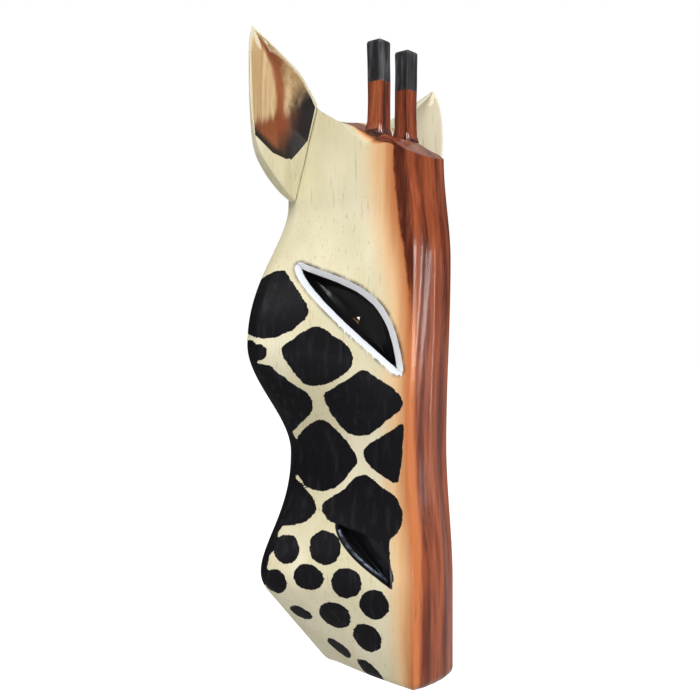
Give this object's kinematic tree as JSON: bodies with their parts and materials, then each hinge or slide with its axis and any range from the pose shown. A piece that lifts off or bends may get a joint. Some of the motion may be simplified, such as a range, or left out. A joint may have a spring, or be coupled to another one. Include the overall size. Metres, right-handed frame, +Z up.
{
  "type": "carved giraffe wall mask",
  "caption": "Hand-carved and painted wooden giraffe face with pegged ears and horns, hollowed behind, that hangs on a wall by a swinging wire ring.",
  "frame": {"origin": "the hook point: where a nail in the wall carries the hanger ring, in the plane of the mask's flat back", "axes": "+Z up along the face, +Y out of the flat back towards the wall, so the face looks towards -Y; +X towards the animal's left"},
  "size_m": [0.2418, 0.1045, 0.4935],
  "materials": {
    "painted_wood": "cream paint over fine grain, black patches, red-brown varnished ridge, satin",
    "ear_paint": "cream paint outside, sprayed brown and black inside, satin",
    "bamboo": "plain bamboo",
    "stained_wood": "red-brown stain and varnish, black painted tips, gloss",
    "steel": "plated, slightly dull",
    "brass_wire": "bright wire"
  },
  "bodies": {
    "mask": {"face_block": "painted_wood", "ear_right": "ear_paint", "ear_left": "ear_paint", "ear_dowel_right": "bamboo", "ear_dowel_left": "bamboo", "horn_right": "stained_wood", "horn_left": "stained_wood", "hanger_strap": "steel", "hanger_screw_upper": "steel", "hanger_screw_lower": "steel"},
    "ring": {"hanger_ring": "brass_wire"}
  },
  "joints": [
    {"name": "ring_swing", "type": "hinge", "parent": "mask", "child": "ring", "pos_m": [0, -0.0066, -0.01697], "axis": [-1, 0, 0], "range_deg": [0, 165]}
  ]
}
